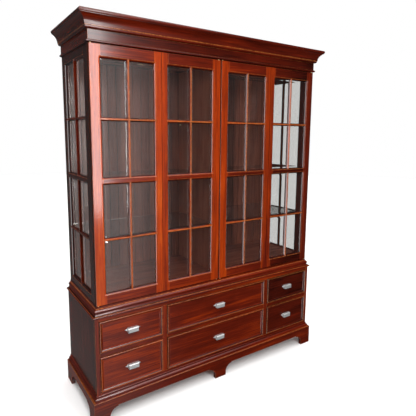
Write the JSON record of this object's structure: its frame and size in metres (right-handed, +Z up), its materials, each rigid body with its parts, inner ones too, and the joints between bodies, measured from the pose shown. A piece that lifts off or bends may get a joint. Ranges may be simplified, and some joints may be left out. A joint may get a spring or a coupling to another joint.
{
  "type": "china cabinet",
  "caption": "Two-piece mahogany china cabinet: glazed doors with glazing bars and glazed sides over a base of panelled drawers with cup pulls, on a bracket plinth.",
  "frame": {"origin": "on the floor under the middle of the outer box", "axes": "+Z up, the doors and drawers face -Y, +X to the right of someone facing the cabinet"},
  "size_m": [1.686, 0.547, 2.137],
  "materials": {
    "mahogany": "gloss lacquer over dark red mahogany",
    "inner_wood": "satin lacquer, darker",
    "drawer_wood": "pale, thin satin coat",
    "glass": "clear",
    "pewter": "satin pewter",
    "brass": "satin",
    "catch_plastic": "dark brown"
  },
  "bodies": {
    "cabinet": {"back_panels": "inner_wood", "base_bottom": "inner_wood", "base_face_frame": "mahogany", "base_sides": "mahogany", "base_top": "inner_wood", "ceiling": "inner_wood", "ceiling_lights": "brass", "centre_partition": "inner_wood", "crown_board": "inner_wood", "crown_moulding": "mahogany", "display_floor": "inner_wood", "door_catches": "catch_plastic", "drawer_dividers": "inner_wood", "drawer_runners": "drawer_wood", "frieze": "mahogany", "glass_shelves": "glass", "pivot_pins": "brass", "plinth": "mahogany", "plinth_moulding": "mahogany", "shelf_pegs": "brass", "side_bars": "mahogany", "side_frames": "mahogany", "side_glass": "glass", "waist_moulding": "mahogany"},
    "door_1": {"door_1_bars": "mahogany", "door_1_fittings": "brass", "door_1_frame": "mahogany", "door_1_glass": "glass"},
    "door_2": {"door_2_bars": "mahogany", "door_2_fittings": "brass", "door_2_frame": "mahogany", "door_2_glass": "glass"},
    "door_3": {"door_3_bars": "mahogany", "door_3_fittings": "brass", "door_3_frame": "mahogany", "door_3_glass": "glass"},
    "door_4": {"door_4_bars": "mahogany", "door_4_fittings": "brass", "door_4_frame": "mahogany", "door_4_glass": "glass"},
    "drawer_1": {"drawer_1_box": "drawer_wood", "drawer_1_front": "mahogany", "drawer_1_pull": "pewter"},
    "drawer_2": {"drawer_2_box": "drawer_wood", "drawer_2_front": "mahogany", "drawer_2_pull": "pewter"},
    "drawer_3": {"drawer_3_box": "drawer_wood", "drawer_3_front": "mahogany", "drawer_3_pull": "pewter"},
    "drawer_4": {"drawer_4_box": "drawer_wood", "drawer_4_front": "mahogany", "drawer_4_pull": "pewter"},
    "drawer_5": {"drawer_5_box": "drawer_wood", "drawer_5_front": "mahogany", "drawer_5_pull": "pewter"},
    "drawer_6": {"drawer_6_box": "drawer_wood", "drawer_6_front": "mahogany", "drawer_6_pull": "pewter"}
  },
  "joints": [
    {"name": "door_1_hinge", "type": "hinge", "parent": "cabinet", "child": "door_1", "pos_m": [-0.777, -0.2165, 0.6553], "axis": [0, 0, 1], "range_deg": [-105, 0]},
    {"name": "door_2_hinge", "type": "hinge", "parent": "cabinet", "child": "door_2", "pos_m": [-0.014, -0.2165, 0.6553], "axis": [0, 0, 1], "range_deg": [0, 90]},
    {"name": "door_3_hinge", "type": "hinge", "parent": "cabinet", "child": "door_3", "pos_m": [0.014, -0.2165, 0.6553], "axis": [0, 0, 1], "range_deg": [-90, 0]},
    {"name": "door_4_hinge", "type": "hinge", "parent": "cabinet", "child": "door_4", "pos_m": [0.777, -0.2165, 0.6553], "axis": [0, 0, 1], "range_deg": [0, 105]},
    {"name": "drawer_1_slide", "type": "slide", "parent": "cabinet", "child": "drawer_1", "axis": [0, -1, 0], "range_m": [0, 0.35]},
    {"name": "drawer_2_slide", "type": "slide", "parent": "cabinet", "child": "drawer_2", "axis": [0, -1, 0], "range_m": [0, 0.35]},
    {"name": "drawer_3_slide", "type": "slide", "parent": "cabinet", "child": "drawer_3", "axis": [0, -1, 0], "range_m": [0, 0.35]},
    {"name": "drawer_4_slide", "type": "slide", "parent": "cabinet", "child": "drawer_4", "axis": [0, -1, 0], "range_m": [0, 0.35]},
    {"name": "drawer_5_slide", "type": "slide", "parent": "cabinet", "child": "drawer_5", "axis": [0, -1, 0], "range_m": [0, 0.35]},
    {"name": "drawer_6_slide", "type": "slide", "parent": "cabinet", "child": "drawer_6", "axis": [0, -1, 0], "range_m": [0, 0.35]}
  ]
}
